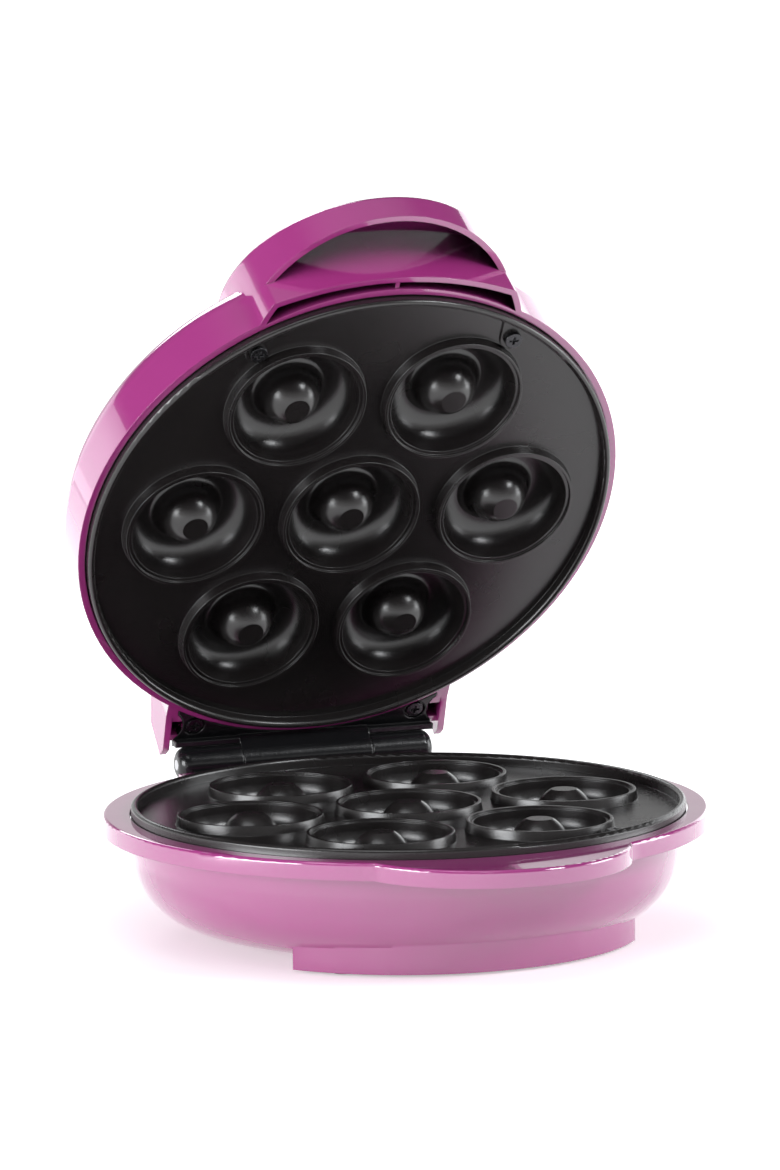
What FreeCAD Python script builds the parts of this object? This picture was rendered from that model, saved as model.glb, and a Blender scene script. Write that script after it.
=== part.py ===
import FreeCAD, Part
import math
import os

# A hinged two-plate appliance that bakes seven small ring cakes at a time.
# Everything is first drawn closed: the origin is the centre of the plates on the plane where
# they meet, +X is right, +Y is the hinge side and +Z is up. At the end the lid is swung open,
# and the whole is moved so that the origin is at the middle of its footprint, on the table.

V = FreeCAD.Vector

# Driving dimensions in millimetres and degrees

# The cast plates
well_pitch = 60.0
bead_radius = 26.7
plate_margin = 12.8
plate_radius = well_pitch + bead_radius + plate_margin
plate_floor = 3.0
lip_width = 2.6
lip_height = 4.1
lip_exposed = 3.5
parting_gap = 0.3
bead_slope = 0.7
bead_crest_width = 1.0
bead_ledge_width = 1.4
bead_ledge_drop = 0.9
bead_drop = 0.65
well_depth = 13.0
well_wall = 2.8
post_top_radius = 4.7
post_shoulder = 30.0
post_round = 13.0
post_draft = 15.0
groove_round = 3.0
well_cup_radius = 20.0
plate_screw_inset = 8.07
plate_screw_angle = 32.04
plate_screw_x = (plate_radius - plate_screw_inset) * math.sin(math.radians(plate_screw_angle))
plate_screw_y = -(plate_radius - plate_screw_inset) * math.cos(math.radians(plate_screw_angle))
screw_pad_width = 9.3
screw_pad_height = 0.8
hook_angle = 50.0
hook_width = 12.0
hook_reach = 2.4
hook_thickness = 2.0
plate_clearance = 0.5
pocket_radius = plate_radius + plate_clearance
seat_width = 5.0
seat_thickness = 3.0
fit_gap = 0.2

# The hinge
hinge_setback = 11.0
hinge_y = pocket_radius + hinge_setback
hinge_z = -1.8
knuckle_radius = 6.5
knuckle_end_round = 4.0
barrel_half = 50.0
outer_knuckle = 24.5
middle_half = barrel_half - outer_knuckle
knuckle_gap = 0.4
pin_radius = 2.0
pin_press_gap = 0.02
pin_running_gap = 0.05
bracket_plate = 2.8
bracket_setback = 5.0
bracket_half = barrel_half - bracket_setback
bracket_top_drop = 5.4
leaf_thickness = 3.0
leaf_overhang = 0.8
leaf_half = barrel_half + leaf_overhang
leaf_rear_step = 1.0
leaf_waist = 2.6
leaf_waist_radius = 7.9
leaf_lip_gap = 0.5
leaf_lip = 2.2
leaf_lip_start_angle = 130.0
leaf_lip_end_angle = 165.0
bracket_screw_setback = 13.0
bracket_screw_x = barrel_half - bracket_screw_setback
open_angle = 58.5

# The base shell
base_centre_y = 3.0
base_wall = 2.6
flange_overhang = 9.2
flange_radius = plate_radius + flange_overhang
flange_depth = 6.4
flange_skin = 2.4
flange_round = 1.2
bowl_inset = 0.8
bowl_radius = plate_radius - bowl_inset
bowl_straight = 6.0
bowl_round = 28.3
skirt_inset = 16.7
skirt_radius = bowl_radius - skirt_inset
skirt_width = 16.0
skirt_offset = 8.0
skirt_half_angle = 52.0
skirt_drop = 2.5
foot_radius = 5.0
foot_angle = 40.0
foot_proud = 0.8
foot_thickness = 2.4
hinge_block_margin = 2.0
hinge_block_half = barrel_half + hinge_block_margin
hinge_block_depth = 21.5
gland_drop = 34.4
gland_boss_radius = 9.0
gland_radius = 5.4
gland_bore = 3.6
gland_flange_radius = 7.6
gland_flange = 2.2
gland_length = 15.0

# The lid shell
lid_wall = 2.5
lid_radius = pocket_radius + lid_wall
lid_straight = 16.4
lid_round = 13.0
crown_slope = 26.0
lobe_radius = 52.0
lobe_setback = 25.0
lobe_centre_y = lobe_setback - plate_radius
lobe_wall = 2.2
lobe_rim = 14.8
handle_front = 28.0
handle_slope = 17.5
handle_arch = 600.0
handle_round = 4.0
slot_width = 3.0
slot_face_radius = 94.0
grip_wall_radius = 123.0
grip_wall_centre_y = grip_wall_radius - lid_radius - slot_width - lobe_wall
slot_rib = 1.6
slot_rib_setback = 1.0
tail_margin = 5.5
tail_half = barrel_half + tail_margin
tail_front = 55.0
tail_overhang = 3.5
tail_rear = pocket_radius + tail_overhang
tail_lean = 1.6
tail_height = 12.9
tail_slope = 28.3
ear_thickness = 2.5
ear_reach = 5.8
ear_dip = 3.0
tail_slot_width = 4.5
tail_slot_length = 6.5
hinge_screw_setback = 6.5
hinge_screw_x = barrel_half - hinge_screw_setback
leaf_front_radius = lid_radius + 2 * fit_gap
hinge_screw_inset = 4.05
hinge_screw_y = math.sqrt(leaf_front_radius ** 2 - hinge_screw_x ** 2) + hinge_screw_inset

# Heating and wiring
heater_radius = 3.3
heater_ring = 58.0
heater_bend = 10.0
heater_leg_x = 11.0
heater_leg_end = 70.0
heater_pin_radius = 1.5
heater_pin = 6.0
clip_sheet = 1.2
clip_width = 9.0
clip_half = 13.0
clip_screw_offset = 9.0
clip_angles = (0, 180, 240, 300)
shield_inset = 13.7
shield_radius = bowl_radius - shield_inset
shield_rim = 6.0
shield_rim_rise = 5.0
shield_sheet = 0.8
shield_gap = 1.8
shield_post_inset = 4.5
shield_post_ring = shield_radius - shield_rim - shield_post_inset
shield_post_radius = 3.5
shield_post_angles = (90, 210, 330)
shield_window = 24.0
shield_trim_y = -66.0
wire_radius = 1.2
wire_bend = 4.0
wire_turn_y = 81.0
wire_hole = 3.2
thermostat_radius = 7.5
thermostat_height = 8.0
thermostat_ear_half = 14.0
thermostat_ear_width = 10.0
thermostat_screw_x = 11.0
blade_x = 4.0
blade_width = 5.0
blade_sheet = 0.8
blade_height = 7.0
fuse_radius = 2.0
fuse_half = 6.0
fuse_spacing = 0.7
fuse_y = thermostat_radius + fuse_radius + fuse_spacing
fuse_clip_width = 6.0
terminal_width = 40.0
terminal_depth = 18.0
terminal_height = 10.0
terminal_y = 63.0
terminal_screw_x = 15.0

# Lights in the lid
light_x = 10.0
light_inset = 20.5
light_y = light_inset - lid_radius
lens_radius = 3.5
lens_rise = 1.2
lens_flange = 1.5
lens_flange_radius = 5.0
light_boss_radius = 6.2
light_boss_drop = 3.0
lamp_radius = 2.6
lamp_length = 9.0
lamp_gap = 0.6
holder_half = 24.0
holder_depth = 12.0
holder_sheet = 2.0
holder_post_x = 20.0
holder_post_radius = 3.2

# Screws
small_shank = 1.5
small_head = 2.75
small_head_height = 2.0
plate_shank = 1.9
plate_head = 3.15
plate_head_height = 1.7
plate_thread = 12.0
hinge_shank = 1.7
hinge_head = 3.1
hinge_head_height = 2.0
recess_width = 0.9
recess_length = 3.4
recess_depth = 0.9
screw_boss = 4.6
screw_recess_radius = 4.0
screw_recess_depth = 1.2
small_thread = 2.2
post_thread = 6.0

# Levels that follow from the sizes above, for the lower half; the lid's are the same above zero
lip_top = -parting_gap / 2
floor_top = lip_top - lip_height
floor_bottom = floor_top - plate_floor
bead_crest = lip_top - bead_drop
well_bottom = bead_crest - well_depth
cup_bottom = well_bottom - well_wall
flange_top = lip_top - lip_exposed
flange_bottom = flange_top - flange_depth
bowl_bottom = flange_bottom - bowl_straight - bowl_round
bowl_inside = bowl_bottom + base_wall
skirt_bottom = bowl_bottom - skirt_drop
lid_rim = parting_gap / 2 + lip_exposed
seat_level = -floor_bottom
throat_radius = pocket_radius - seat_width
heater_level = cup_bottom - heater_radius
clip_depth = 2 * heater_radius + fit_gap + clip_sheet
shield_top = cup_bottom - clip_depth - shield_gap
hinge_wall = pocket_radius + base_wall
cavity_radius = bead_radius - bead_slope - bead_crest_width - bead_ledge_width


# Basic shapes

def box(x0, x1, y0, y1, z0, z1):
    return Part.makeBox(x1 - x0, y1 - y0, z1 - z0, V(x0, y0, z0))


def rod(radius, z0, z1, x=0, y=0):
    return Part.makeCylinder(radius, z1 - z0, V(x, y, z0), V(0, 0, 1))


def cross_rod(radius, x0, x1, y, z):
    return Part.makeCylinder(radius, x1 - x0, V(x0, y, z), V(1, 0, 0))


def outline(start, *moves):
    """Closed face in the XZ plane: a move of two numbers is a line, one of four an arc through a point."""
    edges = []
    first = V(start[0], 0, start[1])
    here = first
    for move in moves:
        end = V(move[-2], 0, move[-1])
        if len(move) == 4:
            edges.append(Part.Arc(here, V(move[0], 0, move[1]), end).toShape())
        else:
            edges.append(Part.makeLine(here, end))
        here = end
    edges.append(Part.makeLine(here, first))
    return Part.Face(Part.Wire(edges))


def turned(face, x=0, y=0):
    solid = face.revolve(V(0, 0, 0), V(0, 0, 1), 360)
    solid.translate(V(x, y, 0))
    return solid


def side_plate(points, x0, x1):
    """Solid of a (y, z) polygon from x0 to x1."""
    corners = [V(x0, y, z) for y, z in points]
    face = Part.Face(Part.makePolygon(corners + corners[:1]))
    return face.extrude(V(x1 - x0, 0, 0))


def both_sides(shape):
    return [shape, shape.mirror(V(0, 0, 0), V(1, 0, 0))]


def upside_down(shape):
    """The lid's copy of a lower piece: a half turn about Y."""
    copy = shape.copy()
    copy.rotate(V(0, 0, 0), V(0, 1, 0), 180)
    return copy


def round_the_axis(shape, angles):
    copies = []
    for angle in angles:
        copy = shape.copy()
        copy.rotate(V(0, 0, 0), V(0, 0, 1), angle)
        copies.append(copy)
    return copies


def tube(points, bend, radius):
    """Round bar along straight runs with rounded corners."""
    corners = [V(*point) for point in points]
    edges = []
    here = corners[0]
    for before, corner, after in zip(corners, corners[1:], corners[2:]):
        into = (corner - before).normalize()
        out = (after - corner).normalize()
        turn = math.acos(max(-1.0, min(1.0, into.dot(out))))
        cut = bend * math.tan(turn / 2)
        start = corner - into * cut
        end = corner + out * cut
        inward = (out - into).normalize()
        middle = corner + inward * (bend / math.cos(turn / 2) - bend)
        edges.append(Part.makeLine(here, start))
        edges.append(Part.Arc(start, middle, end).toShape())
        here = end
    edges.append(Part.makeLine(here, corners[-1]))
    ring = Part.Wire(Part.makeCircle(radius, corners[0], corners[1] - corners[0]))
    return Part.Wire(edges).makePipeShell([ring], True, False)


def screw(shank, length, head, head_height, x=0, y=0, z=0):
    """Pan head screw that points down, with its head standing on height z."""
    solid = rod(head, z, z + head_height, x, y).fuse(rod(shank, z - length, z, x, y))
    top = z + head_height
    half = recess_length / 2
    thin = recess_width / 2
    cross = box(x - half, x + half, y - thin, y + thin, top - recess_depth, top)
    cross = cross.fuse(box(x - thin, x + thin, y - half, y + half, top - recess_depth, top))
    return solid.cut(cross).removeSplitter()


def pointing_up(shape, z):
    """Turn a screw over about its seat height."""
    copy = shape.copy()
    copy.rotate(V(0, 0, z), V(1, 0, 0), 180)
    return copy


# The cast plates

def well_section():
    """Half section of one well: cup, bead, ring-shaped hollow and post."""
    shoulder = math.radians(post_shoulder)
    draft = math.radians(post_draft)

    def on_post(slope):
        return (post_top_radius + post_round * (math.sin(slope) - math.sin(shoulder)),
                bead_crest - post_round * (math.cos(shoulder) - math.cos(slope)))

    steepest = math.pi / 2 - draft
    round_r, round_z = on_post(steepest)
    flank_z = well_bottom + groove_round * (1 - math.sin(draft))
    flank_r = round_r + (round_z - flank_z) * math.tan(draft)
    groove_r = flank_r + groove_round * math.cos(draft)
    half_turn = (math.pi / 2 + draft) / 2
    groove_mid = (groove_r - groove_round * math.cos(half_turn),
                  well_bottom + groove_round * (1 - math.sin(half_turn)))
    hollow = cavity_radius - groove_r
    diagonal = hollow * math.sqrt(0.5)
    hollow_mid = (groove_r + diagonal, well_bottom + hollow - diagonal)
    ledge = bead_crest - bead_ledge_drop
    crest_out = bead_radius - bead_slope
    crest_in = crest_out - bead_crest_width
    return outline((0, cup_bottom),
                   (well_cup_radius, cup_bottom),
                   (bead_radius, floor_bottom),
                   (bead_radius, floor_top),
                   (crest_out, bead_crest),
                   (crest_in, bead_crest),
                   (crest_in, ledge),
                   (cavity_radius, ledge),
                   (cavity_radius, well_bottom + hollow),
                   hollow_mid + (groove_r, well_bottom),
                   groove_mid + (flank_r, flank_z),
                   (round_r, round_z),
                   on_post((shoulder + steepest) / 2) + (post_top_radius, bead_crest),
                   (0, bead_crest))


def well_places():
    places = [(0, 0)]
    for step in range(6):
        angle = math.radians(60 * step)
        places.append((well_pitch * math.cos(angle), well_pitch * math.sin(angle)))
    return places


def clip_screw_places():
    places = []
    for angle in clip_angles:
        for radius in (heater_ring - clip_screw_offset, heater_ring + clip_screw_offset):
            turn = math.radians(angle)
            places.append((radius * math.cos(turn), radius * math.sin(turn)))
    return places


def shield_post_places():
    places = []
    for angle in shield_post_angles:
        turn = math.radians(angle)
        places.append((shield_post_ring * math.cos(turn), shield_post_ring * math.sin(turn)))
    return places


def screw_pad(x):
    """Raised strip from the lip to a fixing screw, with a round end."""
    top = floor_top + screw_pad_height
    half = screw_pad_width / 2
    inner_lip = plate_radius - lip_width
    strip = box(x - half, x + half, -inner_lip, plate_screw_y, floor_top, top)
    strip = strip.common(rod(inner_lip, floor_top, top))
    return strip.fuse(rod(half, floor_top, top, x, plate_screw_y))


def plate_hook():
    """Foot at the rim that reaches under the shell's seat, drawn at the rear."""
    reach = throat_radius + hook_reach
    under = floor_bottom - seat_thickness - fit_gap
    inner = throat_radius - fit_gap - 2 * hook_thickness
    points = [(inner, floor_bottom), (throat_radius - fit_gap, floor_bottom),
              (throat_radius - fit_gap, under), (reach, under),
              (reach, under - hook_thickness), (inner, under - hook_thickness)]
    return side_plate(points, -hook_width / 2, hook_width / 2)


def make_plate():
    crest = lip_width / 2
    disc = turned(outline((0, floor_bottom),
                          (plate_radius, floor_bottom),
                          (plate_radius, lip_top - crest),
                          (plate_radius - crest, lip_top, plate_radius - lip_width, lip_top - crest),
                          (plate_radius - lip_width, floor_top),
                          (0, floor_top)))
    holes = [rod(bead_radius, floor_bottom, floor_top, x, y) for x, y in well_places()]
    wells = [turned(well_section(), x, y) for x, y in well_places()]
    posts = [rod(shield_post_radius, shield_top, floor_bottom, x, y) for x, y in shield_post_places()]
    pads = [screw_pad(x) for x in (-plate_screw_x, plate_screw_x)]
    pads = [pad.cut(rod(bead_radius, floor_bottom, lip_top, side * well_pitch / 2,
                        -well_pitch * math.sin(math.radians(60)))) for pad, side in zip(pads, (-1, 1))]
    hooks = round_the_axis(plate_hook(), (-hook_angle, hook_angle))
    plate = disc.cut(holes).fuse(wells + posts + pads + hooks)
    bores = [rod(plate_shank + fit_gap, floor_bottom, lip_top, x, plate_screw_y)
             for x in (-plate_screw_x, plate_screw_x)]
    bores += [rod(small_shank, cup_bottom, cup_bottom + small_thread + fit_gap, x, y)
              for x, y in clip_screw_places()]
    bores += [rod(small_shank, shield_top, shield_top + post_thread + fit_gap, x, y)
              for x, y in shield_post_places()]
    return plate.cut(bores).removeSplitter()


def fuse_screw_y():
    return fuse_y + fuse_radius + clip_sheet + small_head + fit_gap


def make_upper_plate():
    """The same casting, drilled for the thermostat and the fuse clip."""
    deep = cup_bottom + small_thread + fit_gap
    bores = [rod(small_shank, cup_bottom, deep, x, 0) for x in (-thermostat_screw_x, thermostat_screw_x)]
    bores.append(rod(small_shank, cup_bottom, deep, 0, fuse_screw_y()))
    return upside_down(make_plate().cut(bores))


def make_plate_screws():
    seat = floor_top + screw_pad_height
    length = seat - floor_bottom + plate_thread
    return [screw(plate_shank, length, plate_head, plate_head_height, x, plate_screw_y, seat)
            for x in (-plate_screw_x, plate_screw_x)]


# Heater, clips and reflector, drawn for the lower half

def make_heater():
    bend_x = heater_leg_x + heater_bend
    bend_y = math.sqrt((heater_ring + heater_bend) ** 2 - bend_x ** 2)
    meet = math.atan2(bend_y, bend_x)
    z = heater_level
    meet_x = heater_ring * math.cos(meet)
    meet_y = heater_ring * math.sin(meet)
    middle = V(bend_x + heater_bend * math.cos((math.pi + math.pi + meet) / 2),
               bend_y + heater_bend * math.sin((math.pi + math.pi + meet) / 2), z)
    right_end = V(heater_leg_x, heater_leg_end, z)
    right_bend = V(heater_leg_x, bend_y, z)
    right_meet = V(meet_x, meet_y, z)
    left_end = V(-heater_leg_x, heater_leg_end, z)
    left_bend = V(-heater_leg_x, bend_y, z)
    left_meet = V(-meet_x, meet_y, z)
    path = Part.Wire([Part.makeLine(right_end, right_bend),
                      Part.Arc(right_bend, middle, right_meet).toShape(),
                      Part.Arc(right_meet, V(0, -heater_ring, z), left_meet).toShape(),
                      Part.Arc(left_meet, V(-middle.x, middle.y, z), left_bend).toShape(),
                      Part.makeLine(left_bend, left_end)])
    ring = Part.Wire(Part.makeCircle(heater_radius, right_end, V(0, -1, 0)))
    sheath = path.makePipeShell([ring], True, False)
    pins = [Part.makeCylinder(heater_pin_radius, heater_pin, V(x, heater_leg_end, z), V(0, 1, 0))
            for x in (-heater_leg_x, heater_leg_x)]
    return sheath.fuse(pins)


def make_clips():
    """Hat-section straps over the heater, screwed to the cups."""
    half = clip_width / 2
    channel = heater_radius + fit_gap
    side = channel + clip_sheet
    low = cup_bottom - clip_depth
    r = heater_ring
    strap = box(r - side, r + side, -half, half, low, cup_bottom)
    strap = strap.fuse(box(r - clip_half, r + clip_half, -half, half, cup_bottom - clip_sheet, cup_bottom))
    strap = strap.cut(box(r - channel, r + channel, -half, half, low + clip_sheet, cup_bottom))
    bores = [rod(small_shank + fit_gap, low, cup_bottom, r + offset, 0)
             for offset in (-clip_screw_offset, clip_screw_offset)]
    return round_the_axis(strap.cut(bores).removeSplitter(), clip_angles)


def make_clip_screws():
    seat = cup_bottom - clip_sheet
    length = clip_sheet + small_thread
    return [pointing_up(screw(small_shank, length, small_head, small_head_height, x, -y, seat), seat)
            for x, y in clip_screw_places()]


def make_shield():
    """Dished sheet that keeps the heat on the plate."""
    rim_r = shield_radius
    rim_z = shield_top + shield_rim_rise
    flat_r = shield_radius - shield_rim
    sheet = turned(outline((0, shield_top - shield_sheet),
                           (flat_r, shield_top - shield_sheet),
                           (rim_r, rim_z - shield_sheet),
                           (rim_r, rim_z),
                           (flat_r, shield_top),
                           (0, shield_top)))
    low = shield_top - shield_sheet
    bores = [rod(small_shank + fit_gap, low, shield_top, x, y) for x, y in shield_post_places()]
    bores += [rod(wire_hole, low, rim_z, x, wire_turn_y) for x in (-heater_leg_x, heater_leg_x)]
    return sheet.cut(bores)


def make_upper_shield():
    """The same sheet, trimmed in front of the lights and open over the thermostat."""
    rim_z = shield_top + shield_rim_rise
    window = rod(shield_window, shield_top - shield_sheet, rim_z)
    front = box(-shield_radius, shield_radius, -shield_radius, shield_trim_y, shield_top - shield_sheet, rim_z)
    return upside_down(make_shield().cut([window, front]))


def make_shield_screws():
    seat = shield_top - shield_sheet
    length = shield_sheet + post_thread
    return [pointing_up(screw(small_shank, length, small_head, small_head_height, x, -y, seat), seat)
            for x, y in shield_post_places()]


# The base shell

def bowl_solid(inset, top):
    """Bowl below the flange, smaller by an even inset."""
    corner_z = flange_bottom - bowl_straight
    corner_r = bowl_radius - bowl_round
    arm = bowl_round - inset
    diagonal = arm * math.sqrt(0.5)
    return turned(outline((0, bowl_bottom + inset),
                          (corner_r, bowl_bottom + inset),
                          (corner_r + diagonal, corner_z - diagonal, bowl_radius - inset, corner_z),
                          (bowl_radius - inset, top),
                          (0, top)), 0, base_centre_y)


def rounded_disc(radius, y):
    edge = radius - flange_round
    round_mid = flange_round * (1 - math.sqrt(0.5))
    return turned(outline((0, flange_bottom),
                          (radius, flange_bottom),
                          (radius, flange_top - flange_round),
                          (radius - round_mid, flange_top - round_mid, edge, flange_top),
                          (0, flange_top)), 0, y)


def foot_skirt(front):
    """Curved hollow foot; its mirror image stands at the rear."""
    side = -1 if front else 1
    centre_y = base_centre_y + side * skirt_offset
    outer = skirt_radius
    inner = skirt_radius - skirt_width
    start = side * 90 - skirt_half_angle

    def sector(r_in, r_out, z0, z1, trim):
        low = start + trim
        ring = Part.makeCylinder(r_out, z1 - z0, V(0, 0, z0), V(0, 0, 1), 2 * (skirt_half_angle - trim))
        ring = ring.cut(rod(r_in, z0, z1))
        ring.rotate(V(0, 0, 0), V(0, 0, 1), low)
        ring.translate(V(0, centre_y, 0))
        return ring

    top = bowl_bottom + bowl_round
    end_trim = math.degrees(base_wall / inner)
    block = sector(inner, outer, skirt_bottom, top, 0)
    hollow = sector(inner + base_wall, outer - base_wall, skirt_bottom, top, end_trim)
    bosses = [rod(foot_radius, foot_seat(), top, x, y) for x, y in foot_places(front)]
    return block.cut(hollow).fuse(bosses)


def foot_seat():
    return skirt_bottom - foot_proud + foot_thickness


def foot_places(front):
    side = -1 if front else 1
    centre_y = base_centre_y + side * skirt_offset
    middle = skirt_radius - skirt_width / 2
    turn = math.radians(foot_angle)
    return [(x * middle * math.sin(turn), centre_y + side * middle * math.cos(turn)) for x in (-1, 1)]


def gland_level():
    return -gland_drop


def make_base_shell():
    outside = bowl_solid(0, flange_bottom)
    flange = rounded_disc(flange_radius, base_centre_y).fuse(rounded_disc(lobe_radius, lobe_centre_y))
    under = rod(flange_radius - flange_skin, flange_bottom, flange_top - flange_skin, 0, base_centre_y)
    under = under.fuse(rod(lobe_radius - flange_skin, flange_bottom, flange_top - flange_skin, 0, lobe_centre_y))
    under = under.cut(rod(bowl_radius, flange_bottom, flange_top, 0, base_centre_y))
    flange = flange.cut(under)
    skirts = [foot_skirt(True), foot_skirt(False)]
    skirts = [skirt.cut(bowl_solid(base_wall, flange_bottom)) for skirt in skirts]
    block_low = flange_top - hinge_block_depth
    block = box(-hinge_block_half, hinge_block_half, base_centre_y, hinge_wall, block_low, flange_top)
    gland_rear = gland_seat()
    gland_boss = Part.makeCylinder(gland_boss_radius, gland_rear, V(0, 0, gland_level()), V(0, 1, 0))
    shell = outside.fuse([flange, block, gland_boss] + skirts)
    notch = box(-hinge_block_half - fit_gap, hinge_block_half + fit_gap, hinge_wall, flange_radius + hinge_wall,
                bowl_bottom, 0)
    shell = shell.cut(notch)
    seat_low = floor_bottom - seat_thickness
    block_room = box(-hinge_block_half + base_wall, hinge_block_half - base_wall, 0, hinge_wall - base_wall,
                     block_low + base_wall, seat_low)
    room = bowl_solid(base_wall, seat_low).fuse(block_room)
    bosses = [rod(screw_boss, bowl_bottom, floor_bottom, x, plate_screw_y)
              for x in (-plate_screw_x, plate_screw_x)]
    room = room.cut(bosses)
    shell = shell.cut([room, rod(throat_radius, seat_low, floor_bottom).cut(bosses),
                       rod(pocket_radius, floor_bottom, 0)])
    bores = [rod(plate_shank, floor_bottom - plate_thread - fit_gap, floor_bottom, x, plate_screw_y)
             for x in (-plate_screw_x, plate_screw_x)]
    bores.append(Part.makeCylinder(gland_radius + fit_gap / 4, flange_radius, V(0, terminal_y, gland_level()),
                                   V(0, 1, 0)))
    for x in (-bracket_screw_x, bracket_screw_x):
        bores.append(Part.makeCylinder(hinge_shank, base_wall, V(x, hinge_wall - base_wall, bracket_screw_z()),
                                       V(0, 1, 0)))
    return shell.cut(bores).removeSplitter()


def make_feet():
    places = foot_places(True) + foot_places(False)
    low = skirt_bottom - foot_proud
    return [rod(foot_radius, low, foot_seat(), x, y) for x, y in places]


def gland_seat():
    """How far back the flat rear boss for the cord bush stands."""
    return base_centre_y + bowl_radius


def make_gland():
    """Bush in the rear wall with a through hole for a supply lead."""
    rear = gland_seat()
    y = V(0, 1, 0)
    body = Part.makeCylinder(gland_radius, gland_length, V(0, rear - gland_length, gland_level()), y)
    flange = Part.makeCylinder(gland_flange_radius, gland_flange, V(0, rear, gland_level()), y)
    length = gland_length + gland_flange
    hole = Part.makeCylinder(gland_bore, length, V(0, rear - gland_length, gland_level()), y)
    return body.fuse(flange).cut(hole).removeSplitter()


# The hinge

def bracket_top():
    return flange_top - bracket_top_drop


def bracket_bottom():
    return flange_top - hinge_block_depth + base_wall


def bracket_screw_z():
    return (bracket_top() + bracket_bottom()) / 2


def make_base_bracket():
    """Plate on the hinge wall with a gusset out to each outer knuckle."""
    rear = hinge_wall + bracket_plate
    plate = box(-bracket_half, bracket_half, hinge_wall, rear, bracket_bottom(), bracket_top())
    slant = math.radians(40)
    foot = (hinge_y + knuckle_radius * math.cos(slant), hinge_z - knuckle_radius * math.sin(slant))
    gusset = [(hinge_wall, flange_top - fit_gap), (hinge_y, flange_top - fit_gap), foot,
              (rear + bracket_plate, bracket_bottom()), (hinge_wall, bracket_bottom())]
    inner = middle_half + knuckle_gap / 2
    arm = side_plate(gusset, inner, bracket_half)
    knuckle = cross_rod(knuckle_radius, inner, barrel_half, hinge_y, hinge_z)
    end_edges = [edge for edge in knuckle.Edges if edge.BoundBox.XMin > barrel_half - fit_gap]
    arm = arm.fuse(knuckle.makeFillet(knuckle_end_round, end_edges))
    hollow = [(rear, bracket_top()), (hinge_y - knuckle_radius, bracket_top()), (rear, bracket_bottom())]
    arm = arm.cut(side_plate(hollow, inner + bracket_plate, bracket_half - bracket_plate))
    bracket = plate.fuse(both_sides(arm))
    bores = [cross_rod(pin_radius + pin_press_gap, -barrel_half, barrel_half, hinge_y, hinge_z)]
    for x in (-bracket_screw_x, bracket_screw_x):
        bores.append(Part.makeCylinder(hinge_shank + fit_gap, bracket_plate, V(x, hinge_wall, bracket_screw_z()),
                                       V(0, 1, 0)))
        bores.append(Part.makeCylinder(hinge_head + fit_gap, hinge_y, V(x, rear, bracket_screw_z()), V(0, 1, 0)))
    return bracket.cut(bores).removeSplitter()


def make_bracket_screws():
    """Screws that hold the bracket, put in from the rear."""
    rear = hinge_wall + bracket_plate
    length = bracket_plate + base_wall
    screws = []
    for x in (-bracket_screw_x, bracket_screw_x):
        upright = screw(hinge_shank, length, hinge_head, hinge_head_height)
        upright.rotate(V(0, 0, 0), V(1, 0, 0), -90)
        upright.translate(V(x, rear, bracket_screw_z()))
        screws.append(upright)
    return screws


def make_pin():
    return cross_rod(pin_radius, -barrel_half, barrel_half, hinge_y, hinge_z)


def leaf_top():
    return lid_rim + leaf_thickness


def tail_inside():
    return tail_rear - lid_wall


def leaf_rear():
    return tail_rear + leaf_rear_step


def leaf_outline(gap, low, high):
    """Leaf with hollowed sides, larger by an even gap."""
    front = leaf_front_radius - gap
    rear = leaf_rear()
    leaf = box(-leaf_half - gap, leaf_half + gap, tail_front, rear, low, high).cut(rod(front, low, high))
    waist_x = leaf_half - leaf_waist + leaf_waist_radius
    waist_y = (math.sqrt(leaf_front_radius ** 2 - leaf_half ** 2) + rear) / 2
    return leaf.cut([rod(leaf_waist_radius - gap, low, high, x, waist_y) for x in (-waist_x, waist_x)])


def leaf_lips():
    """Curved edges of the leaf that cover the outer knuckles."""
    inner = knuckle_radius + leaf_lip_gap
    outer = inner + leaf_lip
    left = middle_half + knuckle_gap / 2
    ring = cross_rod(outer, left, leaf_half, hinge_y, hinge_z).cut(cross_rod(inner, left, leaf_half, hinge_y, hinge_z))
    wedge = [(hinge_y, hinge_z)]
    for angle in (leaf_lip_start_angle, leaf_lip_end_angle):
        turn = math.radians(angle)
        wedge.append((hinge_y + 2 * outer * math.cos(turn), hinge_z + 2 * outer * math.sin(turn)))
    return both_sides(ring.common(side_plate(wedge, left, leaf_half)))


def make_lid_bracket():
    """Leaf let into the underside of the tail, with an arm out to the middle knuckle."""
    high = leaf_top()
    front = leaf_front_radius
    half = middle_half - knuckle_gap / 2
    points = [(front, lid_rim), (front, high), (leaf_rear(), high), (hinge_y, hinge_z + knuckle_radius),
              (hinge_y - knuckle_radius, hinge_z)]
    arm = side_plate(points, -half, half).fuse(cross_rod(knuckle_radius, -half, half, hinge_y, hinge_z))
    bores = [cross_rod(pin_radius + pin_running_gap, -half, half, hinge_y, hinge_z)]
    for x in (-hinge_screw_x, hinge_screw_x):
        bores.append(rod(hinge_shank + fit_gap, lid_rim, high, x, hinge_screw_y))
        bores.append(rod(screw_recess_radius, lid_rim, lid_rim + screw_recess_depth, x, hinge_screw_y))
    return leaf_outline(0, lid_rim, high).fuse([arm] + leaf_lips()).cut(bores).removeSplitter()


def make_lid_hinge_screws():
    seat = lid_rim + screw_recess_depth
    length = leaf_top() + post_thread - seat
    return [pointing_up(screw(hinge_shank, length, hinge_head, screw_recess_depth, x, -hinge_screw_y, seat), seat)
            for x in (-hinge_screw_x, hinge_screw_x)]


# The lid shell

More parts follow.
